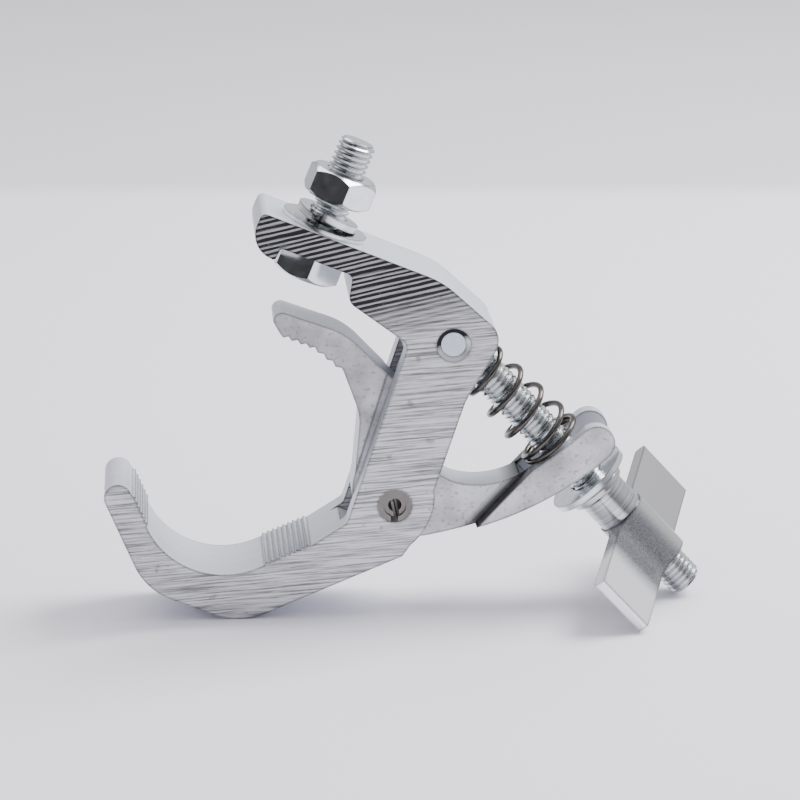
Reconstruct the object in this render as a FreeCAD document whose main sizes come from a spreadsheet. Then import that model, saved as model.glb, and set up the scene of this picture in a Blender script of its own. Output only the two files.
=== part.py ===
import FreeCAD, Part
import Sketcher
import math
import os

# Quick-release pipe clamp for a lighting bar, in millimetres.
#
# Every piece is drawn in the clamp's upright frame: X towards the wing nut, Y across the clamp, Z up
# along the mounting stud, origin on the gripped pipe's axis at the middle of the clamp's width.  The
# whole clamp is then turned about Y by its lean, because it lies on a table on its hook and wing nut.

V = FreeCAD.Vector
doc = FreeCAD.newDocument("pipe_clamp")

# ---------------------------------------------------------------- driving dimensions

DIMENSIONS = [
    ("lean", 22.5, "turn about Y from the upright frame to the lying one, degrees"),
    ("body_width", 25.0, "hook body across the clamp"),
    ("pipe_radius", 25.0, "pipe that the teeth are laid out for"),
    ("tooth_depth", 0.8, "height of every gripping tooth"),
    ("hook_root_wall", 13.5, "hook wall on the spine's side, outside the pipe line"),
    ("hook_tip_wall", 8.2, "hook wall on the tip's side, outside the pipe line"),
    ("bed_gap", 2.1, "pipe line down to the hollow of the hook"),
    ("hook_floor_wall", 10.0, "hook wall under the hollow"),
    ("spine_gap", 8.4, "pipe line to the spine's near face"),
    ("spine_depth", 18.6, "spine from its pipe side to its back"),
    ("flange_top", 71.0, "pipe axis up to the flange's top face"),
    ("flange_web", 7.1, "flange left above the bolt head's recess"),
    ("stud_axis", -1.4, "mounting stud's X"),
    ("recess_left", 9.8, "stud's axis to the recess wall under the flange's tip"),
    ("recess_right", 10.5, "stud's axis to the recess wall on the spine's side"),
    ("slot_width", 12.0, "slot through the spine"),
    ("side_play", 0.2, "gap each side of a piece that moves in the slot"),
    ("pivot_radius", 4.6, "outer roll pin"),
    ("pivot_wall", 1.5, "wall of the outer roll pin"),
    ("pivot_core_wall", 1.3, "wall of the inner roll pin"),
    ("pivot_height", 9.1, "pipe axis up to the jaw's pivot"),
    ("pivot_inset", 10.4, "spine's near face to the jaw's pivot"),
    ("boss_radius", 10.2, "jaw's boss round its pivot"),
    ("boss_play", 0.7, "gap under the jaw's boss"),
    ("head_width", 13.4, "moving jaw's toothed head"),
    ("fork_width", 19.6, "moving jaw's forked end"),
    ("fork_slot", 11.0, "opening between the fork's tines"),
    ("fork_root", 12.2, "bolt's axis to the closed end of the fork"),
    ("hinge_radius", 3.25, "swing bolt's pin"),
    ("hinge_drop", 14.9, "flange top down to the swing bolt's pin"),
    ("hinge_inset", 7.9, "spine's near face to the swing bolt's pin"),
    ("mouth_flare", 1.4, "flare of the body's mouth round that pin"),
    ("mouth_depth", 1.0, "depth of that flare"),
    ("eye_radius", 6.4, "eye of the swing bolt"),
    ("eye_play", 0.4, "gap round the eye in its slot"),
    ("running_fit", 0.05, "radial clearance of every turning fit"),
    ("bolt_radius", 5.0, "swing bolt's thread, an M10"),
    ("bolt_length", 98.0, "swing bolt from its pin to its end"),
    ("end_chamfer", 1.0, "chamfer at a bolt's end"),
    ("wire_radius", 0.8, "spring wire"),
    ("spring_small", 6.6, "spring's mean radius at the body"),
    ("spring_large", 8.4, "spring's mean radius at the fork"),
    ("spring_turns", 4.5, "spring's turns"),
    ("spring_start", 13.3, "pin to the spring's first end"),
    ("spring_play", 0.1, "gap between the spring and the fork"),
    ("washer_gap", 2.0, "gap between the fork's tip and the thrust washer"),
    ("washer_radius", 11.7, "thrust washer and mounting washer"),
    ("washer_play", 0.3, "radial gap in the hole of both washers"),
    ("washer_thickness", 1.8, "thrust washer"),
    ("nut_flange_radius", 8.1, "flange of the wing nut"),
    ("nut_flange_height", 3.4, "flange of the wing nut, with its cone"),
    ("nut_hub_radius", 6.7, "hub of the wing nut"),
    ("nut_hub_height", 9.3, "hub of the wing nut, from its flange to the wings"),
    ("wing_width", 18.0, "wings along the bolt"),
    ("wing_thickness", 3.7, "wings"),
    ("lower_wing", 34.3, "bolt axis to the lower wing's end"),
    ("upper_wing", 33.2, "bolt axis to the upper wing's end"),
    ("wing_boss", 7.1, "round middle between the wings"),
    ("wing_blend", 9.0, "hollow blend from the middle to a wing"),
    ("wing_turn", -66.5, "turn of the wings about the bolt, degrees"),
    ("stud_radius", 5.0, "mounting stud's free end, an M10"),
    ("stud_relief", 4.8, "mounting stud below its free end"),
    ("free_end", 15.8, "flange top to the start of the stud's free end"),
    ("stud_height", 24.8, "stud above the flange's top"),
    ("head_flats", 17.0, "mounting bolt's head across its flats"),
    ("head_height", 7.0, "mounting bolt's head"),
    ("nut_flats", 17.0, "mounting nut across its flats"),
    ("nut_height", 7.8, "mounting nut"),
    ("head_turn", -30.0, "turn of the mounting bolt's head, degrees"),
    ("nut_turn", -24.0, "turn of the mounting nut, degrees"),
    ("nut_lift", 7.8, "flange top to the loose mounting nut"),
    ("plate_washer", 1.3, "mounting washer's thickness"),
    ("lock_radius", 8.5, "spring lock washer, outside"),
    ("lock_hole", 5.2, "spring lock washer, inside"),
    ("lock_thickness", 2.2, "spring lock washer"),
    ("lock_split", 2.0, "gap of the spring lock washer"),
    ("lock_play", 2.6, "gap between the lock washer and the nut"),
]

sheet = doc.addObject("Spreadsheet::Sheet", "Dims")
for row, (alias, value, note) in enumerate(DIMENSIONS, start=1):
    sheet.set("A%d" % row, note)
    sheet.set("B%d" % row, str(value))
    sheet.setAlias("B%d" % row, alias)
doc.recompute()


def size(alias):
    """Value of a driving dimension."""
    return float(getattr(sheet, alias))


# ---------------------------------------------------------------- places worked out from them

HALF_ROOT = math.sqrt(0.5)
TOOTH_LINE = size("pipe_radius")
ROOT_LINE = TOOTH_LINE + size("tooth_depth")
BED = TOOTH_LINE + size("bed_gap")
SPINE_X = TOOTH_LINE + size("spine_gap")
PIVOT = V(SPINE_X + size("pivot_inset"), 0, size("pivot_height"))
HINGE = V(SPINE_X + size("hinge_inset"), 0, size("flange_top") - size("hinge_drop"))
SLOT_FLOOR = PIVOT.z - size("boss_radius") - size("boss_play")

# The fork keeps its place against the bolt, so it climbs with the bolt's pin.
CLIMB = (HINGE.z - PIVOT.z) / 47.0


def on_fork(x, z):
    """Point of the fork, from the jaw's pivot."""
    return PIVOT + V(x, 0, z * CLIMB)


# The fork's tip is round; its outer edge is a long arc that runs down to the neck.
TIP_CENTRE = on_fork(44.7, 34.9)
TIP_RADIUS = 5.0
OUTER_EDGE = [on_fork(49.4, 33.2), on_fork(38.8, 16.5), on_fork(23.6, 1.5)]
INNER_EDGE = [on_fork(31.1, 21.4), on_fork(36.2, 29.5), on_fork(40.5, 37.6)]
FORK_MIDDLE = on_fork(40.5, 26.8)

BOLT_LINE = (FORK_MIDDLE - HINGE).normalize()
BOLT_TILT = math.degrees(math.acos(BOLT_LINE.z))


def along_bolt(point):
    """How far a point lies along the swing bolt, from its pin."""
    return (point - HINGE).dot(BOLT_LINE)


# The washer clears the tip at every angle that the bolt can swing to.
WASHER_START = (TIP_CENTRE - HINGE).Length + TIP_RADIUS + size("washer_gap")
NUT_START = WASHER_START + size("washer_thickness")
SPRING_END = min(along_bolt(p) for p in INNER_EDGE) - size("spring_play")

LEAN = FreeCAD.Placement(V(0, 0, 0), FreeCAD.Rotation(V(0, 1, 0), size("lean")))
ON_BOLT = LEAN * FreeCAD.Placement(HINGE, FreeCAD.Rotation(V(0, 1, 0), BOLT_TILT))
ON_STUD = LEAN * FreeCAD.Placement(V(size("stud_axis"), 0, size("flange_top")), FreeCAD.Rotation())

parts = []


def place(node, placement):
    """Give a finished sub-part its place and list it for writing."""
    node.Placement = placement
    parts.append(node)
    return node


# ---------------------------------------------------------------- sketch helpers

def rounded(before, corner, after, radius):
    """Tangent points and middle of the arc that rounds a corner of two straight edges."""
    towards = (before - corner).normalize()
    away = (after - corner).normalize()
    half = towards.getAngle(away) / 2
    run = radius / math.tan(half)
    centre = corner + (towards + away).normalize() * (radius / math.sin(half))
    middle = centre + (corner - centre).normalize() * radius
    return corner + towards * run, middle, corner + away * run


def outline(items):
    """Edges of a closed outline.

    An item is (x, z) for a sharp corner, (x, z, radius) for a rounded one, or ("via", x, z) for a
    point that the arc between its two neighbours passes through.
    """
    points = [V(item[-2], item[-1], 0) if item[0] == "via" else V(item[0], item[1], 0) for item in items]
    arrive = list(points)
    leave = list(points)
    edges = []
    for i, item in enumerate(items):
        if item[0] != "via" and len(item) == 3:
            following = points[(i + 1) % len(items)]
            arrive[i], middle, leave[i] = rounded(points[i - 1], points[i], following, item[2])
            edges.append(Part.Arc(arrive[i], middle, leave[i]))
    for i, item in enumerate(items):
        following = (i + 1) % len(items)
        if item[0] == "via":
            edges.append(Part.Arc(leave[i - 1], points[i], arrive[following]))
        elif items[following][0] != "via":
            edges.append(Part.LineSegment(leave[i], arrive[following]))
    return edges


def teeth(start, direction, pitch, count, depth):
    """Corners of a row of saw teeth: roots on a line, tips a tooth's depth to its left."""
    inward = V(-direction.z, 0, direction.x) * depth
    corners = []
    for i in range(count):
        root = start + direction * (pitch * i)
        tip = start + direction * (pitch * (i + 0.5)) + inward
        corners += [(root.x, root.z), (tip.x, tip.z)]
    last = start + direction * (pitch * count)
    return corners + [(last.x, last.z)]


def spots(points):
    """Points of the clamp's plane as outline items."""
    return [(p.x, p.z) for p in points]


def circle(x, y, radius):
    """A full circle as the only edge of an outline."""
    return [Part.Circle(V(x, y, 0), V(0, 0, 1), radius)]


def new_body(label):
    """An empty body named after its node."""
    body = doc.addObject("PartDesign::Body", label)
    body.Label = label
    return body


def draw(body, name, role, edges, lift=None):
    """A sketch on one of the body's own origin planes, lifted off it by an expression."""
    sketch = body.newObject("Sketcher::SketchObject", name)
    plane = [f for f in body.Origin.OriginFeatures if f.Role == role][0]
    sketch.AttachmentSupport = [(plane, "")]
    sketch.MapMode = "FlatFace"
    if lift:
        sketch.setExpression("AttachmentOffset.Base.z", lift)
    sketch.addGeometry(edges, False)
    doc.recompute()
    return sketch


def bind_radius(sketch, radius):
    """Tie the radius of a sketch's circle to the sheet."""
    index = sketch.addConstraint(Sketcher.Constraint("Radius", 0, 1.0))
    sketch.setExpression("Constraints[%d]" % index, radius)


def extrude(body, kind, sketch, length, both_ways=False, reverse=False):
    """A pad or a pocket whose length is an expression."""
    feature = body.newObject("PartDesign::" + kind, sketch.Name + "_" + kind.lower())
    feature.Profile = sketch
    feature.setExpression("Length", length)
    feature.Midplane = both_ways
    feature.Reversed = reverse
    before = body.Shape.Volume if not body.Shape.isNull() else 0.0
    doc.recompute()
    if abs(body.Shape.Volume - before) < 1e-6:
        raise ValueError(feature.Name + " changes nothing")
    return feature


def turn(body, kind, sketch):
    """A revolution or groove about the sketch's vertical axis."""
    feature = body.newObject("PartDesign::" + kind, sketch.Name + "_" + kind.lower())
    feature.Profile = sketch
    feature.ReferenceAxis = (sketch, ["V_Axis"])
    feature.Angle = 360.0
    doc.recompute()
    return feature


# ---------------------------------------------------------------- hook body

def hook_outline():
    """Hook, spine and flange in one closed outline, from the flange's tip over the top."""
    top = size("flange_top")
    ceiling = top - size("flange_web")
    left = size("stud_axis") - size("recess_left")
    right = size("stud_axis") + size("recess_right")
    diagonal = HALF_ROOT
    outer_root = TOOTH_LINE + size("hook_root_wall")
    outer_tip = TOOTH_LINE + size("hook_tip_wall")
    floor = -BED - size("hook_floor_wall")
    back = SPINE_X + size("spine_depth")
    tip_mid = (ROOT_LINE + outer_tip) / 2
    tip_radius = (outer_tip - ROOT_LINE) / 2
    tip = V(-tip_mid - 7.5, 0, -tip_mid + 7.5) * diagonal
    hollow = (ROOT_LINE - BED * diagonal) / (1 - diagonal)
    bed_end = hollow * diagonal
    left_start = bed_end + 6.88
    left_teeth = teeth(V(-left_start, 0, left_start - ROOT_LINE / diagonal), V(diagonal, 0, -diagonal), 1.6, 6,
                       size("tooth_depth"))
    right_start = V(bed_end + 1.32, 0, bed_end + 1.32 - ROOT_LINE / diagonal)
    right_teeth = teeth(right_start, V(diagonal, 0, diagonal), 1.5, 9, size("tooth_depth"))
    flange = [
        (left - 8.1, top, 1.6),
        (back - 20.0, top, 25.0),
        (back + 1.0, top - 7.7, 6.0),
        (back - 1.8, top - 28.0, 15.0),
    ]
    bulge = [
        (back, PIVOT.z + 8.0),
        ("via", back + 2.1, PIVOT.z),
        (back, PIVOT.z - 8.6),
    ]
    bottom = [
        (back - 0.9, back - 0.9 - outer_root / diagonal, 1.5),
        (outer_root / diagonal + floor, floor, 18.0),
        (-outer_tip / diagonal - floor, floor, 18.0),
        (tip.x - tip_radius * diagonal, tip.z - tip_radius * diagonal),
        ("via", tip.x - tip_radius * diagonal, tip.z + tip_radius * diagonal),
        (tip.x + tip_radius * diagonal, tip.z + tip_radius * diagonal),
    ]
    mouth = left_teeth + [(0, -ROOT_LINE / diagonal, hollow)] + right_teeth
    inside = [
        (SPINE_X + 0.2, -0.1, 2.5),
        (SPINE_X - 3.4, top - 19.1, 3.0),
        (right + 1.7, top - 14.2, 3.0),
        (right, ceiling, 1.8),
        (left, ceiling, 0.8),
        (left - 0.4, ceiling - 3.9, 0.8),
        ("via", left - 5.8, ceiling - 1.8),
        (left - 8.2, ceiling + 3.8),
    ]
    return outline(flange + bulge + bottom + mouth + inside)


def slot_outline():
    """Space of the jaw's arm and of the swing bolt's eye, open at both sides of the spine."""
    beyond = SPINE_X + size("spine_depth") + 12.0
    eye_left = HINGE.x - size("eye_radius") - size("eye_play")
    eye_top = HINGE.z + size("eye_radius") + size("eye_play")
    return outline([
        (SPINE_X - 7.0, SLOT_FLOOR - 7.0),
        (SPINE_X - 0.6, SLOT_FLOOR),
        (beyond, SLOT_FLOOR),
        (beyond, eye_top),
        (eye_left, eye_top, 5.0),
        (eye_left, HINGE.z - 7.0, 3.0),
        (SPINE_X - 9.0, HINGE.z - 7.0),
        (SPINE_X - 9.0, SLOT_FLOOR - 5.0),
    ])


def make_hook_body():
    body = new_body("hook_body")
    extrude(body, "Pad", draw(body, "hook_profile", "XZ_Plane", hook_outline()),
            "Dims.body_width", both_ways=True)
    extrude(body, "Pocket", draw(body, "slot_profile", "XZ_Plane", slot_outline()),
            "Dims.slot_width", both_ways=True)
    for name, centre, radius in (("pivot_hole", PIVOT, "Dims.pivot_radius"),
                                 ("hinge_hole", HINGE, "Dims.hinge_radius + Dims.running_fit")):
        sketch = draw(body, name, "XZ_Plane", circle(centre.x, centre.z, 1.0))
        bind_radius(sketch, radius)
        extrude(body, "Pocket", sketch, "Dims.body_width * 2", both_ways=True)
    for name, side in (("near_mouth", -1), ("far_mouth", 1)):
        mouth = body.newObject("PartDesign::SubtractiveCone", name)
        floor = V(HINGE.x, side * (size("body_width") / 2 - size("mouth_depth")), HINGE.z)
        mouth.Placement = FreeCAD.Placement(floor, FreeCAD.Rotation(V(1, 0, 0), -90 * side))
        mouth.setExpression("Radius1", "Dims.hinge_radius + Dims.running_fit")
        mouth.setExpression("Radius2", "Dims.hinge_radius + Dims.mouth_flare")
        mouth.setExpression("Height", "Dims.mouth_depth")
        doc.recompute()
    stud = draw(body, "stud_hole", "XY_Plane", circle(size("stud_axis"), 0, 1.0),
                "Dims.flange_top - Dims.flange_web - 1")
    bind_radius(stud, "Dims.stud_relief + Dims.running_fit")
    extrude(body, "Pocket", stud, "Dims.flange_web + 5", reverse=True)
    return place(body, LEAN)


# ---------------------------------------------------------------- moving jaw

def jaw_outlines():
    """Outlines of the whole jaw, of its wide head and of its forked end."""
    crown = [
        (SPINE_X - 38.3, PIVOT.z + 34.2),
        ("via", SPINE_X - 38.2, PIVOT.z + 36.5),
        (SPINE_X - 36.2, PIVOT.z + 37.6),
        (SPINE_X - 18.9, PIVOT.z + 38.3, 20.0),
    ]
    bite = [
        (SPINE_X - 1.9, PIVOT.z + 2.5),
        (SPINE_X - 6.9, PIVOT.z + 18.6, 14.0),
        (SPINE_X - 15.6, PIVOT.z + 28.2),
    ]
    start = V(SPINE_X - 16.6, 0, PIVOT.z + 29.1)
    end = V(SPINE_X - 35.6, 0, PIVOT.z + 32.0)
    middle = V(SPINE_X - 25.4, 0, PIVOT.z + 31.9)
    run = (middle - start).normalize()
    row = teeth(start, run, (middle - start).Length / 3, 3, size("tooth_depth"))
    run = (end - middle).normalize()
    row += teeth(middle, run, (end - middle).Length / 4, 4, size("tooth_depth"))[1:]
    boss = [
        (PIVOT.x, PIVOT.z - size("boss_radius")),
        ("via", PIVOT.x - 7.3, PIVOT.z - 7.1),
    ]
    neck_foot = [(PIVOT.x + 11.2, PIVOT.z - 7.2)]
    fork = spots(INNER_EDGE[2:]) + [("via", TIP_CENTRE.x + 1.0, TIP_CENTRE.z + TIP_RADIUS)]
    fork += spots(OUTER_EDGE[:1]) + [("via", OUTER_EDGE[1].x, OUTER_EDGE[1].z)] + spots(OUTER_EDGE[2:])
    neck_top = [
        (SPINE_X + 5.0, PIVOT.z + 27.7, 8.0),
        (PIVOT.x + 4.2, PIVOT.z + 11.4, 6.0),
        (PIVOT.x + 13.4, PIVOT.z + 10.3),
        ("via", PIVOT.x + 24.0, PIVOT.z + 13.9),
    ]
    inner = spots(INNER_EDGE[:1]) + [("via", INNER_EDGE[1].x, INNER_EDGE[1].z)]
    under = [("via", PIVOT.x + 17.9, PIVOT.z - 2.8)]
    whole = crown + neck_top + inner + fork + under + neck_foot + boss + bite + row
    back = V(crown[-1][0], crown[-1][1], 0)
    step = back + (V(neck_top[0][0], neck_top[0][1], 0) - back) * 0.6
    head = crown + [(step.x, step.y)] + bite + row
    fork_end = inner + fork
    return outline(whole), outline(head), outline(fork_end)


def make_moving_jaw():
    body = new_body("moving_jaw")
    whole, head, fork_end = jaw_outlines()
    neck_width = "Dims.slot_width - 2 * Dims.side_play"
    extrude(body, "Pad", draw(body, "jaw_profile", "XZ_Plane", whole), neck_width, both_ways=True)
    extrude(body, "Pad", draw(body, "head_profile", "XZ_Plane", head), "Dims.head_width", both_ways=True)
    extrude(body, "Pad", draw(body, "fork_profile", "XZ_Plane", fork_end), "Dims.fork_width", both_ways=True)
    across = V(-BOLT_LINE.z, 0, BOLT_LINE.x)
    near = along_bolt(FORK_MIDDLE) - 14.0
    far = along_bolt(FORK_MIDDLE) + 14.0
    opening = [HINGE + BOLT_LINE * reach + across * offset
               for reach, offset in ((near, -size("fork_root")), (far, -size("fork_root")),
                                     (far, 3 * TIP_RADIUS), (near, 3 * TIP_RADIUS))]
    extrude(body, "Pocket", draw(body, "fork_opening", "XZ_Plane", outline(spots(opening))),
            "Dims.fork_slot", both_ways=True)
    bore = draw(body, "jaw_bore", "XZ_Plane", circle(PIVOT.x, PIVOT.z, 1.0))
    bind_radius(bore, "Dims.pivot_radius + Dims.running_fit")
    extrude(body, "Pocket", bore, "Dims.body_width", both_ways=True)
    return place(body, LEAN)


# ---------------------------------------------------------------- pins

def split_tube(outer, inner, gap, angle):
    """Outline of a rolled pin's section, with its slit at an angle from +X."""
    half_outer = math.asin(gap / 2 / outer)
    half_inner = math.asin(gap / 2 / inner)
    slit = math.radians(angle)

    def at(radius, turn_angle):
        return radius * math.cos(turn_angle), radius * math.sin(turn_angle)

    return outline([
        at(outer, slit + half_outer),
        ("via",) + at(outer, slit + math.pi),
        at(outer, slit - half_outer),
        at(inner, slit - half_inner),
        ("via",) + at(inner, slit + math.pi),
        at(inner, slit + half_inner),
    ])


def make_roll_pin(label, outer, wall, gap, angle, length):
    body = new_body(label)
    section = split_tube(outer, outer - wall, gap, angle)
    extrude(body, "Pad", draw(body, label + "_section", "XZ_Plane", section), length, both_ways=True)
    return place(body, LEAN * FreeCAD.Placement(PIVOT, FreeCAD.Rotation()))


def make_hinge_pin():
    pin = doc.addObject("Part::Cylinder", "hinge_pin")
    pin.Label = "hinge_pin"
    pin.setExpression("Radius", "Dims.hinge_radius")
    pin.setExpression("Height", "Dims.body_width - 2 * Dims.mouth_depth")
    doc.recompute()
    centred = FreeCAD.Placement(V(0, pin.Height.Value / 2, 0), FreeCAD.Rotation(V(1, 0, 0), 90))
    return place(pin, LEAN * FreeCAD.Placement(HINGE, FreeCAD.Rotation()) * centred)


# ---------------------------------------------------------------- swing bolt and what rides on it

def chamfer_end(body, name, radius, height, width):
    """Chamfer the round edge of a given radius at a given height."""
    names = ["Edge%d" % (i + 1) for i, edge in enumerate(body.Shape.Edges)
             if isinstance(edge.Curve, Part.Circle) and abs(edge.Curve.Radius - radius) < 1e-6
             and abs(edge.Curve.Center.z - height) < 1e-6]
    shank = body.Tip
    chamfer = body.newObject("PartDesign::Chamfer", name)
    chamfer.Base = (shank, names)
    chamfer.setExpression("Size", width)
    doc.recompute()


def make_swing_bolt():
    body = new_body("swing_bolt")
    shank = draw(body, "shank_section", "XY_Plane", circle(0, 0, 1.0))
    bind_radius(shank, "Dims.bolt_radius")
    extrude(body, "Pad", shank, "Dims.bolt_length")
    chamfer_end(body, "shank_end", size("bolt_radius"), size("bolt_length"), "Dims.end_chamfer")
    eye = draw(body, "eye_profile", "XZ_Plane", circle(0, 0, 1.0))
    bind_radius(eye, "Dims.eye_radius")
    extrude(body, "Pad", eye, "Dims.slot_width - 2 * Dims.side_play", both_ways=True)
    hole = draw(body, "eye_hole", "XZ_Plane", circle(0, 0, 1.0))
    bind_radius(hole, "Dims.hinge_radius + Dims.running_fit")
    extrude(body, "Pocket", hole, "Dims.slot_width * 2", both_ways=True)
    return place(body, ON_BOLT)


def make_spring():
    """Conical coil: a round wire swept along a tapered helix."""
    wire = size("wire_radius")
    first = size("spring_start") + wire
    last = SPRING_END - wire
    helix = doc.addObject("Part::Helix", "spring_line")
    helix.setExpression("Radius", "Dims.spring_small")
    helix.Height = last - first
    helix.Pitch = (last - first) / size("spring_turns")
    helix.SegmentLength = 0.5
    helix.Angle = math.degrees(math.atan((size("spring_large") - size("spring_small")) / (last - first)))
    section = doc.addObject("Part::Circle", "spring_wire")
    section.setExpression("Radius", "Dims.wire_radius")
    section.Placement = FreeCAD.Placement(V(size("spring_small"), 0, 0), FreeCAD.Rotation(V(1, 0, 0), 90))
    doc.recompute()
    spring = doc.addObject("Part::Sweep", "compression_spring")
    spring.Label = "compression_spring"
    spring.Sections = [section]
    spring.Spine = (helix, [])
    spring.Solid = True
    spring.Frenet = True
    doc.recompute()
    return place(spring, ON_BOLT * FreeCAD.Placement(V(0, 0, first), FreeCAD.Rotation()))


def make_washer(label, radius, hole, thickness):
    body = new_body(label)
    rim = draw(body, label + "_rim", "XY_Plane", circle(0, 0, 1.0))
    bind_radius(rim, radius)
    extrude(body, "Pad", rim, thickness)
    bore = draw(body, label + "_bore", "XY_Plane", circle(0, 0, 1.0))
    bind_radius(bore, hole)
    extrude(body, "Pocket", bore, thickness, reverse=True)
    return body


def wing_outline():
    """Section of the wings across the bolt: a bar with a round middle blended into it."""
    half = size("wing_thickness") / 2
    boss = size("wing_boss")
    blend = size("wing_blend")
    rise = half + blend
    run = math.sqrt((boss + blend) ** 2 - rise ** 2)
    meet_x = run * boss / (boss + blend)
    meet_z = rise * boss / (boss + blend)
    sweep = (math.pi / 2 + math.atan2(rise, run)) / 2
    dip_x = run - blend * math.cos(sweep)
    dip_z = rise - blend * math.sin(sweep)
    items = []
    for side, reach in ((1, size("lower_wing")), (-1, size("upper_wing"))):
        items += [
            (side * reach, -side * half, 1.0),
            (side * reach, side * half, 1.0),
            (side * run, side * half),
            ("via", side * dip_x, side * dip_z),
            (side * meet_x, side * meet_z),
            ("via", 0, side * boss),
            (-side * meet_x, side * meet_z),
            ("via", -side * dip_x, side * dip_z),
            (-side * run, side * half),
        ]
    return outline(items)


def make_wing_nut():
    body = new_body("wing_nut")
    rim = size("nut_flange_radius")
    hub = size("nut_hub_radius")
    rim_top = size("nut_flange_height")
    hub_top = rim_top + size("nut_hub_height")
    profile = outline([
        (0, 0),
        (hub, 0),
        (rim, rim_top - 1.9, 0.5),
        (rim, rim_top, 0.5),
        (hub, rim_top, 0.5),
        (hub, hub_top + 1.0),
        (0, hub_top + 1.0),
    ])
    turn(body, "Revolution", draw(body, "hub_profile", "XZ_Plane", profile))
    wings = draw(body, "wing_section", "XY_Plane", wing_outline(), "Dims.nut_flange_height + Dims.nut_hub_height")
    extrude(body, "Pad", wings, "Dims.wing_width")
    bore = draw(body, "nut_bore", "XY_Plane", circle(0, 0, 1.0))
    bind_radius(bore, "Dims.bolt_radius + Dims.running_fit")
    extrude(body, "Pocket", bore, "Dims.bolt_length", reverse=True)
    turned = FreeCAD.Placement(V(0, 0, NUT_START), FreeCAD.Rotation(V(0, 0, 1), size("wing_turn")))
    return place(body, ON_BOLT * turned)


# ---------------------------------------------------------------- mounting stud and its fasteners

def hexagon(flats, turned):
    """Hexagon of a given size across its flats, turned by an angle."""
    corner = flats / math.sqrt(3)
    angles = [math.radians(60 * i + turned) for i in range(6)]
    return outline([(corner * math.cos(angle), corner * math.sin(angle)) for angle in angles])


def bevel(body, name, flats, base, top):
    """Turn the corners of a hexagon down to a circle at the height `top`."""
    inner = flats / 2 * 0.96
    outer = flats / math.sqrt(3) + 0.5
    drop = (outer - inner) * math.tan(math.radians(40)) * (1 if base < top else -1)
    ring = outline([(inner, top), (outer, top), (outer, top - drop)])
    turn(body, "Groove", draw(body, name, "XZ_Plane", ring))


def make_mount_bolt():
    body = new_body("mount_bolt")
    web = size("flange_web")
    head = draw(body, "head_section", "XY_Plane", hexagon(size("head_flats"), size("head_turn")),
                "-Dims.flange_web - Dims.head_height")
    extrude(body, "Pad", head, "Dims.head_height")
    bevel(body, "head_bevel", size("head_flats"), -web, -web - size("head_height"))
    shank = draw(body, "stud_section", "XY_Plane", circle(0, 0, 1.0), "-Dims.flange_web - 1")
    bind_radius(shank, "Dims.stud_relief")
    extrude(body, "Pad", shank, "Dims.flange_web + 1 + Dims.free_end")
    free_end = draw(body, "free_end_section", "XY_Plane", circle(0, 0, 1.0), "Dims.free_end")
    bind_radius(free_end, "Dims.stud_radius")
    extrude(body, "Pad", free_end, "Dims.stud_height - Dims.free_end")
    chamfer_end(body, "stud_end", size("stud_radius"), size("stud_height"), "Dims.end_chamfer")
    return place(body, ON_STUD)


def make_mount_nut():
    body = new_body("mount_nut")
    extrude(body, "Pad", draw(body, "nut_section", "XY_Plane", hexagon(size("nut_flats"), size("nut_turn"))),
            "Dims.nut_height")
    bore = draw(body, "mount_nut_bore", "XY_Plane", circle(0, 0, 1.0))
    bind_radius(bore, "Dims.stud_relief + Dims.running_fit")
    extrude(body, "Pocket", bore, "Dims.nut_height", reverse=True)
    bevel(body, "upper_bevel", size("nut_flats"), 0, size("nut_height"))
    bevel(body, "lower_bevel", size("nut_flats"), size("nut_height"), 0)
    return place(body, ON_STUD * FreeCAD.Placement(V(0, 0, size("nut_lift")), FreeCAD.Rotation()))


def make_lock_washer():
    lift = size("nut_lift") - size("lock_play") - size("lock_thickness")
    body = make_washer("mount_lock_washer", "Dims.lock_radius", "Dims.lock_hole", "Dims.lock_thickness")
    half = size("lock_split") / 2
    gap = outline([(-half, -2 * size("lock_radius")), (half, -2 * size("lock_radius")), (half, 0), (-half, 0)])
    extrude(body, "Pocket", draw(body, "split", "XY_Plane", gap), "Dims.lock_thickness", reverse=True)
    return place(body, ON_STUD * FreeCAD.Placement(V(0, 0, lift), FreeCAD.Rotation()))


# ---------------------------------------------------------------- build, check and write

make_hook_body()
make_moving_jaw()
make_roll_pin("pivot_roll_pin", size("pivot_radius"), size("pivot_wall"), 1.9, -70, "Dims.body_width - 0.6")
make_roll_pin("pivot_core_pin", size("pivot_radius") - size("pivot_wall"), size("pivot_core_wall"), 1.6, -58,
              "Dims.body_width - 2")
make_hinge_pin()
make_swing_bolt()
make_spring()
place(make_washer("thrust_washer", "Dims.washer_radius", "Dims.bolt_radius + Dims.washer_play",
                  "Dims.washer_thickness"),
      ON_BOLT * FreeCAD.Placement(V(0, 0, WASHER_START), FreeCAD.Rotation()))
make_wing_nut()
make_mount_bolt()
place(make_washer("mount_flat_washer", "Dims.washer_radius", "Dims.stud_radius + Dims.washer_play",
                  "Dims.plate_washer"), ON_STUD)
make_lock_washer()
make_mount_nut()
doc.recompute()

for item in doc.Objects:
    if "Invalid" in item.State or "Error" in item.State:
        raise ValueError(item.Name + " failed: " + str(item.State))
for part in parts:
    if part.Shape.isNull() or not part.Shape.isValid() or len(part.Shape.Solids) != 1:
        raise ValueError(part.Label + " is not one valid solid")

os.makedirs("parts", exist_ok=True)
for part in parts:
    part.Shape.exportStep("parts/" + part.Label + ".step")
    print("%-20s %9.1f mm3" % (part.Label, part.Shape.Volume))
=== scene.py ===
import math

import bpy
from mathutils import Matrix, Vector


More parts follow.
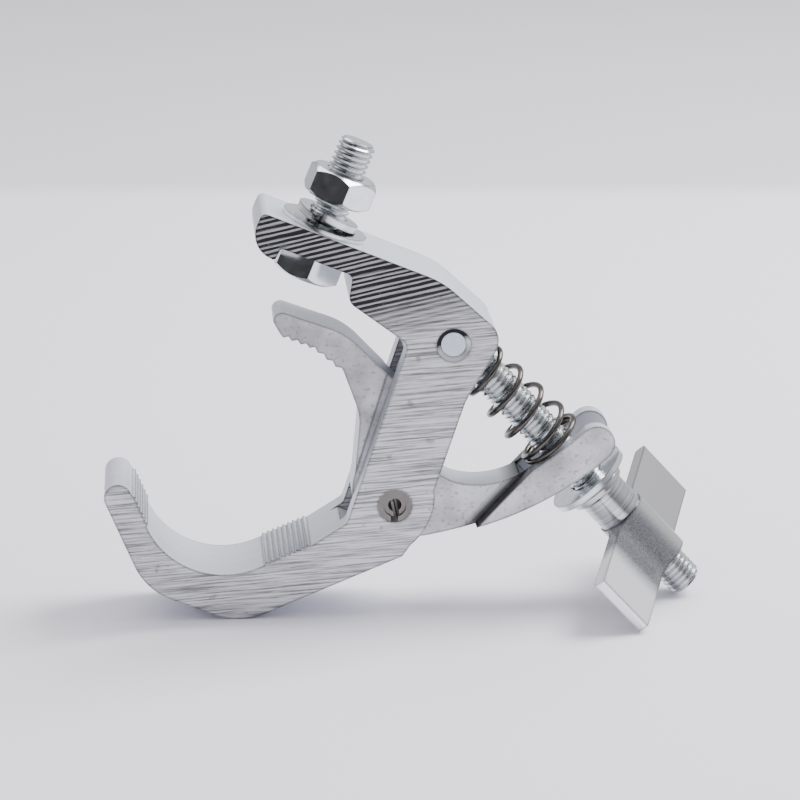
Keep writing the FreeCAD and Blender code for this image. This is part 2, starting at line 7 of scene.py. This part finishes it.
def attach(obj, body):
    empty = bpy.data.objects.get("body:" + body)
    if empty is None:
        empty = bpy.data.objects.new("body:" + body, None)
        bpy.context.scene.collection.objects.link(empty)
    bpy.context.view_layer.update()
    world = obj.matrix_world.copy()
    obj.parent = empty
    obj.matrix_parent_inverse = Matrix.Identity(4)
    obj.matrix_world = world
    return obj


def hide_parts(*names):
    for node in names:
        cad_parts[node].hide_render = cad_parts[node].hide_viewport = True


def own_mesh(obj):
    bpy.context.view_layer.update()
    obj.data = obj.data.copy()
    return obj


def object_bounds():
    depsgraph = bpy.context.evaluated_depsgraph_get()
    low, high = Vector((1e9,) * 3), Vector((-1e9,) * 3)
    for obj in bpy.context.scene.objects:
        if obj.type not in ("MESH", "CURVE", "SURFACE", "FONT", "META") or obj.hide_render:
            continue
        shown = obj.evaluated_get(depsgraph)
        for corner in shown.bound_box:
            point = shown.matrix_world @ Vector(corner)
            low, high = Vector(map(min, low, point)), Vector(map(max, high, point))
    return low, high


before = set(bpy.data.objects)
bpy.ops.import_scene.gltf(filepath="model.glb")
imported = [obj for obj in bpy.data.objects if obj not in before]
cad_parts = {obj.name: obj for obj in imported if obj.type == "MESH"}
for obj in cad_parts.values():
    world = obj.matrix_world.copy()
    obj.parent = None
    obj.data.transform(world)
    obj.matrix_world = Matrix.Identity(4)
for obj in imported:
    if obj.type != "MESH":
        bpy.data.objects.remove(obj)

built_low, built_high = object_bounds()

# ---------------------------------------------------------------- the clamp's own directions

MM = 0.001
LEAN = math.radians(22.5)
UP = Vector((math.sin(LEAN), 0, math.cos(LEAN)))
ALONG = Vector((math.cos(LEAN), 0, -math.sin(LEAN)))
DEPTH = Vector((0, 1, 0))

# Places in the clamp's upright plane, in millimetres along ALONG and UP.
STUD_X = -1.4
FLANGE_TOP = 71.0
HINGE = (41.3, 56.1)
FORK_MIDDLE = (84.3, 35.9)
FORK_STEP = (74.9, 30.5)

# The M10 thread and its nut and head, in millimetres, and the turns of those two about the stud.
THREAD_CREST = 5.0
THREAD_ROOT = 4.15
THREAD_PITCH = 1.5
THREAD_CHAMFER = 1.0
HEXAGON_FLATS = 17.0
NUT_BORE = 5.05
HEAD_TURN = math.radians(0)
NUT_TURN = math.radians(6)

# Steps in a full turn of a thread or an eye.
AROUND = 48

# Heights on the mounting stud, in millimetres above the flange.
HEAD_BOTTOM = -14.1
HEAD_TOP = -7.1
STUD_BOTTOM = -8.0
STUD_TOP = 24.8
LOCK_WASHER_BASE = 1.2
NUT_BOTTOM = 7.8
NUT_TOP = 15.6

# Distances along the swing bolt, in millimetres from the hinge.
SHANK_START = 4.0
SHANK_END = 98.0
HUB_REACH = 69.5


def at(x, z):
    """Place in the row frame of a point given in millimetres in the clamp's upright plane."""
    return (ALONG * x + UP * z) * MM


def axes(origin, z_axis, x_axis):
    """Matrix of a right-handed frame with its Z and X along two directions."""
    z = z_axis.normalized()
    x = x_axis.normalized()
    y = z.cross(x)
    rotation = Matrix((x, y, z)).transposed().to_4x4()
    return Matrix.Translation(origin) @ rotation


ON_STUD = axes(at(STUD_X, FLANGE_TOP), UP, ALONG)
BOLT_LINE = (at(*FORK_MIDDLE) - at(*HINGE)).normalized()
ON_BOLT = axes(at(*HINGE), BOLT_LINE, DEPTH.cross(BOLT_LINE))
HUB_END = BOLT_LINE.dot(at(*HINGE)) + HUB_REACH * MM


# ---------------------------------------------------------------- mesh helpers

def piece(name, vertices, faces, place, material, body, smooth_angle=30.0):
    """A mesh given in millimetres in a local frame, placed in the row frame and tied to a body."""
    mesh = bpy.data.meshes.new(name)
    mesh.from_pydata([place @ (Vector(v) * MM) for v in vertices], [], faces)
    mesh.validate()
    mesh.materials.append(material)
    mesh.shade_smooth()
    mesh.set_sharp_from_angle(angle=math.radians(smooth_angle))
    made = bpy.data.objects.new(name, mesh)
    bpy.context.scene.collection.objects.link(made)
    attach(made, body)
    return made


def skin(rings, caps=True):
    """Faces between equal closed rings of vertices, with a face over each end."""
    count = len(rings[0])
    vertices = [v for ring in rings for v in ring]
    faces = []
    for i in range(len(rings) - 1):
        for j in range(count):
            k = (j + 1) % count
            faces.append((i * count + j, i * count + k, (i + 1) * count + k, (i + 1) * count + j))
    if caps:
        faces.append(tuple(reversed(range(count))))
        faces.append(tuple(range((len(rings) - 1) * count, len(rings) * count)))
    return vertices, faces


def thread(start, end):
    """The right-hand M10 thread between two heights: dished at its top end, open at its bottom end.

    Row i of the strip climbs one pitch in a full turn and joins row i + per_pitch there.
    """
    groove = [0.0, 0.0, 0.34, 0.68, 1.0, 1.0, 0.68, 0.34]
    per_pitch = len(groove)
    dish = 0.25
    rim = THREAD_CREST - THREAD_CHAMFER
    rows = int((end - start) / THREAD_PITCH * per_pitch) + 2 * per_pitch
    vertices = []
    for i in range(rows):
        cut = (THREAD_CREST - THREAD_ROOT) * groove[i % per_pitch]
        for j in range(AROUND):
            angle = 2 * math.pi * j / AROUND
            height = start + (i / per_pitch + j / AROUND - 1) * THREAD_PITCH
            clipped = min(max(height, start), end)
            radius = min(THREAD_CREST - cut, rim + (end - clipped))
            vertices.append((radius * math.cos(angle), radius * math.sin(angle), clipped))
    faces = []
    for i in range(rows - 1):
        for j in range(AROUND):
            step = 0 if j + 1 < AROUND else per_pitch
            if i + 1 + step < rows:
                k = (j + 1) % AROUND
                faces.append((i * AROUND + j, (i + step) * AROUND + k,
                              (i + 1 + step) * AROUND + k, (i + 1) * AROUND + j))
    top = len(vertices)
    vertices.append((0, 0, end - dish))
    for j in range(AROUND):
        angle = 2 * math.pi * j / AROUND
        vertices.append((rim * math.cos(angle), rim * math.sin(angle), end))
        faces.append((top, top + 1 + j, top + 1 + (j + 1) % AROUND))
    return vertices, faces


def hexagon_block(bottom, top, turn, bevel_top=True, hole=0.01):
    """A hexagonal block whose corners are turned down to a cone at its bottom and, if asked, its top."""
    apothem = HEXAGON_FLATS / 2
    inner = apothem * 0.96
    per_side = 12
    slope = math.tan(math.radians(40))
    rings = []

    def radius_at(angle):
        return apothem / math.cos((angle + math.pi / 6) % (math.pi / 3) - math.pi / 6)

    angles = [2 * math.pi * j / (6 * per_side) for j in range(6 * per_side)]
    for reach, height in ((hole, bottom), (inner, bottom), (None, bottom), (None, top), (inner, top),
                          (hole, top)):
        ring = []
        for angle in angles:
            radius = reach if reach is not None else radius_at(angle)
            drop = max(0.0, radius - inner) * slope
            z = height
            if reach is None and height == top and bevel_top:
                z = top - drop
            if reach is None and height == bottom:
                z = bottom + drop
            ring.append((radius * math.cos(angle + turn), radius * math.sin(angle + turn), z))
        rings.append(ring)
    vertices, faces = skin(rings, caps=False)
    count = len(angles)
    last = (len(rings) - 1) * count
    for j in range(count):
        k = (j + 1) % count
        faces.append((last + j, last + k, k, j))
    return vertices, faces


def tube(path, radius):
    """A round wire along a list of points."""
    around = 12
    rings = []
    for i, point in enumerate(path):
        before = path[max(i - 1, 0)]
        after = path[min(i + 1, len(path) - 1)]
        forward = (Vector(after) - Vector(before)).normalized()
        side = forward.cross(Vector((0, 0, 1))).normalized()
        normal = side.cross(forward)
        rings.append([Vector(point) + radius * (math.cos(a) * side + math.sin(a) * normal)
                      for a in (2 * math.pi * j / around for j in range(around))])
    return skin(rings)


# ---------------------------------------------------------------- materials

class Nodes:
    """Short way to wire up one material."""

    def __init__(self, name):
        self.material = bpy.data.materials.new(name)
        self.material.use_nodes = True
        self.tree = self.material.node_tree
        self.shader = self.tree.nodes["Principled BSDF"]

    def add(self, kind, **values):
        node = self.tree.nodes.new("ShaderNode" + kind)
        for key, value in values.items():
            setattr(node, key, value)
        return node

    def wire(self, source, target):
        self.tree.links.new(source, target)

    def put(self, socket, value):
        if isinstance(value, bpy.types.NodeSocket):
            self.wire(value, socket)
        else:
            socket.default_value = value

    def math(self, operation, a, b=0.0):
        node = self.add("Math", operation=operation)
        self.put(node.inputs[0], a)
        self.put(node.inputs[1], b)
        return node.outputs[0]

    def mix(self, factor, a, b):
        """Colour between two; a Mix node's colour sockets come after its number and vector ones."""
        node = self.add("Mix", data_type="RGBA")
        self.put(node.inputs[0], factor)
        self.put(node.inputs[6], a)
        self.put(node.inputs[7], b)
        return node.outputs[2]

    def place(self, turn=0.0, stretch=(1, 1, 1)):
        """Object coordinates turned about Y and then stretched."""
        coordinates = self.add("TexCoord")
        turned = self.add("Mapping", vector_type="POINT")
        turned.inputs["Rotation"].default_value = (0, turn, 0)
        self.wire(coordinates.outputs["Object"], turned.inputs["Vector"])
        scaled = self.add("Mapping", vector_type="POINT")
        scaled.inputs["Scale"].default_value = stretch
        self.wire(turned.outputs[0], scaled.inputs["Vector"])
        return scaled.outputs[0]

    def noise(self, vector, scale, detail=3.0, roughness=0.5):
        node = self.add("TexNoise")
        node.inputs["Scale"].default_value = scale
        node.inputs["Detail"].default_value = detail
        node.inputs["Roughness"].default_value = roughness
        self.wire(vector, node.inputs["Vector"])
        return node.outputs["Fac"]

    def ramp(self, factor, *stops):
        """Piecewise value of a factor; every stop is (position, grey or colour)."""
        node = self.add("ValToRGB")
        elements = node.color_ramp.elements
        while len(elements) < len(stops):
            elements.new(0.5)
        for element, (position, value) in zip(elements, stops):
            element.position = position
            element.color = (value, value, value, 1) if isinstance(value, (int, float)) else (*value, 1)
        self.put(node.inputs[0], factor)
        return node.outputs[0]

    def cut_face(self):
        """1 where the surface faces along the clamp's depth, as its two cut faces do, and 0 elsewhere."""
        coordinates = self.add("TexCoord")
        split = self.add("SeparateXYZ")
        self.wire(coordinates.outputs["Normal"], split.inputs[0])
        return self.between(self.math("ABSOLUTE", split.outputs["Y"]), 0.6, 0.9)

    def height_along(self, direction):
        """Object coordinate along a direction."""
        coordinates = self.add("TexCoord")
        node = self.add("VectorMath", operation="DOT_PRODUCT")
        self.wire(coordinates.outputs["Object"], node.inputs[0])
        node.inputs[1].default_value = direction
        return node.outputs["Value"]

    def between(self, value, low, high):
        """0 at one value, 1 at the other and a straight line between them."""
        node = self.add("MapRange")
        node.inputs["From Min"].default_value = low
        node.inputs["From Max"].default_value = high
        self.put(node.inputs["Value"], value)
        return node.outputs[0]

    def from_line(self, point, direction):
        """Distance of a point from a straight line."""
        coordinates = self.add("TexCoord")
        offset = self.add("VectorMath", operation="SUBTRACT")
        self.wire(coordinates.outputs["Object"], offset.inputs[0])
        offset.inputs[1].default_value = point
        cross = self.add("VectorMath", operation="CROSS_PRODUCT")
        self.wire(offset.outputs[0], cross.inputs[0])
        cross.inputs[1].default_value = direction
        length = self.add("VectorMath", operation="LENGTH")
        self.wire(cross.outputs[0], length.inputs[0])
        return length.outputs["Value"]

    def depth(self):
        """Distance of a point from the clamp's middle plane."""
        return self.math("ABSOLUTE", self.height_along(DEPTH))

    def only_along(self, direction):
        """A vector that changes only along one direction."""
        combine = self.add("CombineXYZ")
        self.wire(self.height_along(direction), combine.inputs[0])
        return combine.outputs[0]

    def bump(self, height, strength, distance):
        node = self.add("Bump")
        node.inputs["Strength"].default_value = strength
        node.inputs["Distance"].default_value = distance
        self.wire(height, node.inputs["Height"])
        return node.outputs[0]

    def edge(self, radius):
        """1 within a small distance of a sharp edge."""
        bevel = self.add("Bevel", samples=4)
        bevel.inputs["Radius"].default_value = radius
        geometry = self.add("NewGeometry")
        node = self.add("VectorMath", operation="DOT_PRODUCT")
        self.wire(bevel.outputs[0], node.inputs[0])
        self.wire(geometry.outputs["Normal"], node.inputs[1])
        return self.between(self.math("SUBTRACT", 1.0, node.outputs["Value"]), 0.01, 0.06)

    def with_painted_edge_shade(self, tone, radius, share=0.85):
        """A tone with a painted shade line along each sharp edge."""
        return self.mix(self.math("MULTIPLY", self.edge(radius), share), tone, EDGE_PAINTED_SHADE)

    def finish(self, color, metallic, roughness, normal=None):
        self.put(self.shader.inputs["Base Color"], color)
        self.put(self.shader.inputs["Metallic"], metallic)
        self.put(self.shader.inputs["Roughness"], roughness)
        if normal is not None:
            self.wire(normal, self.shader.inputs["Normal"])
        return self.material


# Painted shade laid along every sharp edge.
EDGE_PAINTED_SHADE = (0.035, 0.035, 0.04, 1)
PALE_CUT = (0.74, 0.74, 0.76, 1)
PIT_TONE = (0.16, 0.16, 0.17, 1)
SAW_SLOPE = 12.5
SAW_PITCH = 1.35 * MM
FLARE_SHADE = Vector((-0.35, 0, 0.94)).normalized()
FLARE_MIDDLE = at(*HINGE).dot(FLARE_SHADE)
STEP_ACROSS = (ALONG * 0.936 - UP * 0.353).normalized()
STEP_EDGE = at(*FORK_STEP).dot(STEP_ACROSS)


def slope_across(degrees):
    """Direction across straight marks that climb to the right at an angle."""
    return (-math.sin(math.radians(degrees)), 0, math.cos(math.radians(degrees)))


def sawn_aluminium():
    """Extruded bar: smooth on its drawn sides, saw-cut and brushed on its two cut faces, with painted shade
    and a painted highlight in the flared mouth of the hinge bore and painted shade along its edges.
    """
    n = Nodes("sawn_aluminium")
    cut = n.cut_face()
    across = n.height_along(slope_across(SAW_SLOPE))
    strong = n.between(across, 26 * MM, 38 * MM)
    wander = n.noise(n.place(math.radians(SAW_SLOPE), (14, 1, 330)), 1.0, 2.0, 0.5)
    even = n.math("MULTIPLY", across, 2 * math.pi / SAW_PITCH)
    wave = n.math("SINE", n.math("ADD", even, n.math("MULTIPLY", wander, 9.0)))
    drag = n.noise(n.place(math.radians(SAW_SLOPE), (120, 1, 3200)), 1.0, 3.0, 0.6)
    ridges = n.math("ADD", n.math("MULTIPLY", wave, 0.30), n.math("MULTIPLY", drag, 1.0))
    saw_lines = n.ramp(ridges, (0.42, 0.0), (0.74, 1.0))
    fine = n.noise(n.place(math.radians(4), (45, 1, 1900)), 1.0, 4.0, 0.7)
    fine_lines = n.ramp(fine, (0.40, 0.0), (0.56, 1.0))
    cut_tone = n.mix(fine_lines, (0.20, 0.20, 0.21, 1), PALE_CUT)
    sawn_tone = n.mix(saw_lines, (0.022, 0.021, 0.024, 1), (0.44, 0.43, 0.44, 1))
    face_tone = n.mix(strong, cut_tone, sawn_tone)
    specks = n.ramp(n.noise(n.place(), 260.0, 2.0), (0.68, 0.0), (0.74, 1.0))
    face_tone = n.mix(n.math("MULTIPLY", specks, 0.5), face_tone, PIT_TONE)
    drawn = n.noise(n.place(stretch=(1, 40, 1)), 8.0)
    side_tone = n.mix(drawn, (0.60, 0.62, 0.67, 1), (0.72, 0.74, 0.79, 1))
    tone = n.mix(cut, side_tone, face_tone)
    # Painted shade on the upper half of the flared mouth round the hinge pin and a painted highlight on its
    # lower half.
    in_bore = n.between(n.from_line(at(*HINGE), DEPTH), 4.7 * MM, 4.5 * MM)
    in_flare = n.math("MULTIPLY", in_bore, n.between(n.depth(), 10.0 * MM, 10.5 * MM))
    painted_shade_above_pin = n.between(n.height_along(FLARE_SHADE), FLARE_MIDDLE - 0.4 * MM, FLARE_MIDDLE + 1.4 * MM)
    flare_painted_shade_and_highlight = n.mix(painted_shade_above_pin, (0.75, 0.76, 0.78, 1), (0.012, 0.012, 0.014, 1))
    tone = n.with_painted_edge_shade(n.mix(in_flare, tone, flare_painted_shade_and_highlight), 1.0 * MM)
    height = n.math("ADD", n.math("MULTIPLY", saw_lines, strong), n.math("MULTIPLY", fine, 0.4))
    height = n.math("MULTIPLY", height, cut)
    rough = n.math("SUBTRACT", 0.50, n.math("MULTIPLY", cut, 0.06))
    return n.finish(tone, 0.8, rough, n.bump(height, 0.5, 0.1 * MM))


def jaw_aluminium():
    """The moving jaw: tumbled smooth, with small dark pits, a band of painted shade along its step and
    painted shade along its edges.
    """
    n = Nodes("jaw_aluminium")
    cut = n.cut_face()
    pits = n.ramp(n.noise(n.place(), 900.0, 2.0), (0.58, 0.0), (0.68, 1.0))
    cloud = n.noise(n.place(), 90.0, 3.0)
    face = n.mix(n.ramp(cloud, (0.35, 0.0), (0.65, 1.0)), (0.40, 0.40, 0.41, 1), PALE_CUT)
    face = n.mix(n.math("MULTIPLY", pits, 0.5), face, PIT_TONE)
    side = (0.62, 0.64, 0.68, 1)
    outer_face = n.math("MULTIPLY", cut, n.between(n.depth(), 5.6 * MM, 5.8 * MM))
    tone = n.mix(outer_face, side, face)
    # Painted shade in a band just before the step line where the jaw narrows.
    step = n.height_along(STEP_ACROSS)
    step_painted_shade = n.math("MULTIPLY", n.between(step, STEP_EDGE - 3.0 * MM, STEP_EDGE - 1.0 * MM),
                  n.between(step, STEP_EDGE + 0.4 * MM, STEP_EDGE))
    tone = n.mix(n.math("MULTIPLY", step_painted_shade, 0.85), tone, (0.05, 0.05, 0.055, 1))
    return n.finish(n.with_painted_edge_shade(tone, 1.0 * MM), 0.8, 0.46, n.bump(cloud, 0.15, 0.2 * MM))


def zinc_plate(name="zinc_plate", roughness=0.16):
    """Bright zinc plate on turned and rolled steel, with painted shade along its edges."""
    n = Nodes(name)
    cloud = n.noise(n.place(), 400.0)
    tone = n.mix(cloud, (0.62, 0.65, 0.66, 1), (0.86, 0.88, 0.89, 1))
    rough = n.math("ADD", n.math("MULTIPLY", cloud, 0.14), roughness - 0.05)
    return n.finish(n.with_painted_edge_shade(tone, 0.6 * MM, 0.8), 1.0, rough, n.bump(cloud, 0.10, 0.1 * MM))


def wing_metal():
    """The wing nut: a turned hub and grit-rough wings, with a painted reflection on the wings: a painted
    shade band across them and a painted highlight at their outer ends.
    """
    n = Nodes("wing_metal")
    on_wing = n.between(n.height_along(BOLT_LINE), HUB_END, HUB_END + 0.6 * MM)
    grit = n.noise(n.place(), 2600.0, 2.0)
    # Painted reflection on the wings: grey near the hub, a painted shade band further out and a painted
    # highlight at the outer ends.
    reach = n.height_along((0, -1, 0))
    wing_painted_shade_band = n.math("MULTIPLY", n.between(reach, 3 * MM, 8 * MM), n.between(reach, 20 * MM, 15 * MM))
    outer = n.between(reach, 15 * MM, 21 * MM)
    wing_painted_reflection = n.mix(wing_painted_shade_band, (0.50, 0.50, 0.51, 1), (0.30, 0.30, 0.32, 1))
    wing_painted_reflection = n.mix(outer, wing_painted_reflection, (0.95, 0.95, 0.96, 1))
    # Dark grit specks, kept inside the painted shade band on the wings.
    speckle = n.math("MULTIPLY", n.ramp(grit, (0.40, 1.0), (0.58, 0.0)), n.math("MULTIPLY", wing_painted_shade_band, on_wing))
    turning = n.noise(n.only_along(BOLT_LINE), 1500.0, 2.0)
    hub_tone = n.mix(n.ramp(turning, (0.30, 0.0), (0.66, 1.0)), (0.30, 0.30, 0.31, 1), (0.74, 0.75, 0.76, 1))
    tone = n.mix(on_wing, hub_tone, wing_painted_reflection)
    tone = n.mix(n.math("MULTIPLY", speckle, 0.6), tone, (0.08, 0.08, 0.10, 1))
    grit_relief = n.math("MULTIPLY", grit, n.math("MULTIPLY", wing_painted_shade_band, 0.5))
    relief = n.math("ADD", grit_relief, n.math("MULTIPLY", turning, 0.4))
    rough = n.math("ADD", 0.18, n.math("MULTIPLY", on_wing, 0.16))
    return n.finish(n.with_painted_edge_shade(tone, 0.8 * MM), 1.0, rough, n.bump(relief, 0.25, 0.1 * MM))


def spring_steel():
    """Dark spring wire."""
    n = Nodes("spring_steel")
    cloud = n.noise(n.place(), 500.0)
    tone = n.mix(cloud, (0.05, 0.045, 0.04, 1), (0.14, 0.13, 0.12, 1))
    return n.finish(tone, 1.0, 0.22)


def pin_steel(name, tone):
    """Plain pin steel, clouded between a tone and a paler one."""
    n = Nodes(name)
    cloud = n.noise(n.place(), 700.0)
    paler = tuple(min(1, c * 1.35) for c in tone[:3]) + (1,)
    return n.finish(n.mix(cloud, tone, paler), 1.0, 0.34, n.bump(cloud, 0.2, 0.1 * MM))


SAWN = sawn_aluminium()
JAW = jaw_aluminium()
ZINC = zinc_plate()
BOLT_ZINC = zinc_plate("bolt_zinc", 0.20)
WING = wing_metal()
SPRING = spring_steel()
PIN_DARK = pin_steel("pin_dark", (0.16, 0.15, 0.14, 1))
PIN_PALE = pin_steel("pin_pale", (0.50, 0.55, 0.60, 1))

# The CAD nodes that show as they are, each with its material and slot.
CAD_FINISH = {
    "hook_body": (SAWN, "sawn_aluminium"),
    "moving_jaw": (JAW, "jaw_aluminium"),
    "pivot_roll_pin": (PIN_DARK, "pin_steel"),
    "pivot_core_pin": (PIN_DARK, "pin_steel"),
    "hinge_pin": (PIN_PALE, "pin_steel"),
    "thrust_washer": (ZINC, "zinc_plate"),
    "wing_nut": (WING, "wing_metal"),
    "mount_flat_washer": (ZINC, "zinc_plate"),
}
for node, (material, _) in CAD_FINISH.items():
    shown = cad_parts[node]
    shown.data.materials.clear()
    shown.data.materials.append(material)


# ---------------------------------------------------------------- pieces that stand for plain CAD nodes

def swing_bolt():
    """Threaded shank with its eye round the pin."""
    vertices, faces = thread(SHANK_START, SHANK_END)
    shank = piece("swing_bolt_shank", vertices, faces, ON_BOLT, BOLT_ZINC, "bolt", 40)
    bore, outside, side = 3.3, 6.4, 5.8
    rings = []
    for radius, depth in ((bore, -side), (outside, -side), (outside, side), (bore, side), (bore, -side)):
        rings.append([(radius * math.cos(a), depth, radius * math.sin(a))
                      for a in (2 * math.pi * j / AROUND for j in range(AROUND))])
    vertices, faces = skin(rings, caps=False)
    eye = piece("swing_bolt_eye", vertices, faces, ON_BOLT, BOLT_ZINC, "bolt")
    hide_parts("swing_bolt")


def spring():
    """Conical spring, wound closed for its last turn and a third, at its wide end."""
    start, end, wire = 12.4, 41.9, 0.8
    small, large = 6.6, 8.45
    turns, closed_turns = 4.95, 1.35
    open_turns = turns - closed_turns
    steps = 44
    phase = math.radians(165)
    path = []
    for i in range(int(turns * steps) + 1):
        turned = i / steps
        if turned < open_turns:
            height = start + (end - 2 * wire - start) * turned / open_turns
        else:
            height = end - 2 * wire + 2 * wire * (turned - open_turns) / closed_turns
        radius = small + (large - small) * min(1.0, turned / open_turns)
        angle = phase + 2 * math.pi * turned
        path.append((radius * math.cos(angle), radius * math.sin(angle), height))
    vertices, faces = tube(path, wire)
    coil = piece("spring_coil", vertices, faces, ON_BOLT, SPRING, "bolt", 60)
    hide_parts("compression_spring")
    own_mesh(coil)


def mount_stud():
    """Threaded stud with its hexagon head under the flange."""
    vertices, faces = thread(STUD_BOTTOM, STUD_TOP)
    stud = piece("mount_stud", vertices, faces, ON_STUD, ZINC, "clamp_body", 40)
    vertices, faces = hexagon_block(HEAD_BOTTOM, HEAD_TOP, HEAD_TURN, bevel_top=False)
    head = piece("mount_head", vertices, faces, ON_STUD, ZINC, "clamp_body")
    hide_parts("mount_bolt")


def mount_nut():
    """Hexagon nut, bevelled on both faces and bored just clear of the thread."""
    vertices, faces = hexagon_block(NUT_BOTTOM, NUT_TOP, NUT_TURN, hole=NUT_BORE)
    nut = piece("mount_nut_body", vertices, faces, ON_STUD, ZINC, "stud_nut")
    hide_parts("mount_nut")


def lock_washer():
    """Split spring washer: one open turn of flat bar that falls as it goes and lies a little askew."""
    inner, outer, thick = 5.25, 8.5, 1.9
    first_end = math.radians(-111) + math.radians(4)
    gap = math.radians(10)
    climb, askew = 1.7, 0.11
    steps = 60
    rings = []
    for i in range(steps + 1):
        turned = i / steps
        angle = first_end + (2 * math.pi - gap) * turned
        rise = climb * (1 - turned)
        ring = []
        for radius, height in ((inner, 0.0), (outer, 0.0), (outer, thick), (inner, thick)):
            x = radius * math.cos(angle)
            ring.append((x, radius * math.sin(angle), LOCK_WASHER_BASE + rise - askew * x + height))
        rings.append(ring)
    vertices, faces = skin(rings)
    washer = piece("lock_washer_ring", vertices, faces, ON_STUD, ZINC, "lock_washer")
    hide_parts("mount_lock_washer")
    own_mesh(washer)


swing_bolt()
spring()
mount_stud()
mount_nut()
lock_washer()


# ---------------------------------------------------------------- table, wall, light and camera

TABLE_TONE = (0.90, 0.885, 0.95, 1)
# Table tone with painted shade, used towards its left side.
TABLE_LEFT_PAINTED_SHADE = (0.85, 0.835, 0.90, 1)
WALL_TONE = (0.70, 0.695, 0.75, 1)
TABLE_HEADING = math.radians(4.37)
FLOOR = built_low.z - 0.02 * MM


def stage_sheet(name, corners, material):
    """One four-cornered face that belongs to the studio and not to the clamp."""
    mesh = bpy.data.meshes.new(name)
    mesh.from_pydata(corners, [], [(0, 1, 2, 3)])
    mesh.materials.append(material)
    made = bpy.data.objects.new(name, mesh)
    bpy.context.scene.collection.objects.link(made)


def table_and_wall():
    """One pale sheet, darkened towards the left by painted shade, that turns a little darker behind the far
    edge of the table.
    """
    n = Nodes("table_and_wall")
    heading = (math.sin(TABLE_HEADING), math.cos(TABLE_HEADING), 0)
    beyond = n.between(n.height_along(heading), 0.50, 0.53)
    # Painted shade: the table darkens towards the left.
    leftward_painted_shade = n.between(n.height_along((-1, 0, 0)), -0.05, 0.25)
    table = n.mix(leftward_painted_shade, TABLE_TONE, TABLE_LEFT_PAINTED_SHADE)
    return n.finish(n.mix(beyond, table, WALL_TONE), 0.0, 0.7)


stage_sheet("table", [(-6, -3, FLOOR), (6, -3, FLOOR), (6, 9, FLOOR), (-6, 9, FLOOR)], table_and_wall())
card_black = Nodes("black_card").finish((0.008, 0.008, 0.009, 1), 0.0, 0.9)
stage_sheet("black_card", [(-0.80, -0.40, FLOOR), (-0.10, -0.90, FLOOR), (-0.10, -0.90, 0.14),
                           (-0.80, -0.40, 0.45)], card_black)


def area_light(name, position, target, width, height, power):
    """A rectangular lamp, in metres and watts, turned to a target."""
    light = bpy.data.lights.new(name, "AREA")
    light.shape = "RECTANGLE"
    light.size = width
    light.size_y = height
    light.energy = power
    made = bpy.data.objects.new(name, light)
    bpy.context.scene.collection.objects.link(made)
    made.location = position
    made.rotation_euler = (Vector(target) - Vector(position)).to_track_quat("-Z", "Y").to_euler()


def studio_world():
    """Soft surrounding light that is bright above and behind, and dim below and in front."""
    world = bpy.data.worlds.new("studio")
    bpy.context.scene.world = world
    world.use_nodes = True
    nodes, links = world.node_tree.nodes, world.node_tree.links
    background = nodes["Background"]
    direction = nodes.new("ShaderNodeTexCoord")
    towards_light = nodes.new("ShaderNodeVectorMath")
    towards_light.operation = "DOT_PRODUCT"
    towards_light.inputs[1].default_value = Vector((0.20, 0.55, 0.80)).normalized()
    brightness = nodes.new("ShaderNodeMapRange")
    brightness.inputs["From Min"].default_value = -0.55
    brightness.inputs["From Max"].default_value = 0.45
    brightness.inputs["To Min"].default_value = 0.06
    brightness.inputs["To Max"].default_value = 0.95
    links.new(direction.outputs["Generated"], towards_light.inputs[0])
    links.new(towards_light.outputs["Value"], brightness.inputs["Value"])
    links.new(brightness.outputs["Result"], background.inputs["Strength"])
    background.inputs["Color"].default_value = (0.95, 0.95, 1.0, 1)


LIT_POINT = (0.045, 0, 0.0)
area_light("key", (0.75, 0.30, 1.0), LIT_POINT, 0.7, 0.7, 24)
area_light("top", (-0.25, 0.35, 1.1), LIT_POINT, 1.0, 0.8, 6)
studio_world()

CAMERA_PLACE = Vector((-0.01773, -0.8375, 0.26468))
CAMERA_TARGET = Vector((0.04624, 0, 0.01763))
camera_data = bpy.data.cameras.new("camera")
camera_data.sensor_width = 36.0
camera_data.lens = 145.9
camera_data.clip_start = 0.05
camera_data.clip_end = 20.0
camera = bpy.data.objects.new("camera", camera_data)
bpy.context.scene.collection.objects.link(camera)
camera.location = CAMERA_PLACE
camera.rotation_euler = (CAMERA_TARGET - CAMERA_PLACE).to_track_quat("-Z", "Y").to_euler()
bpy.context.scene.camera = camera
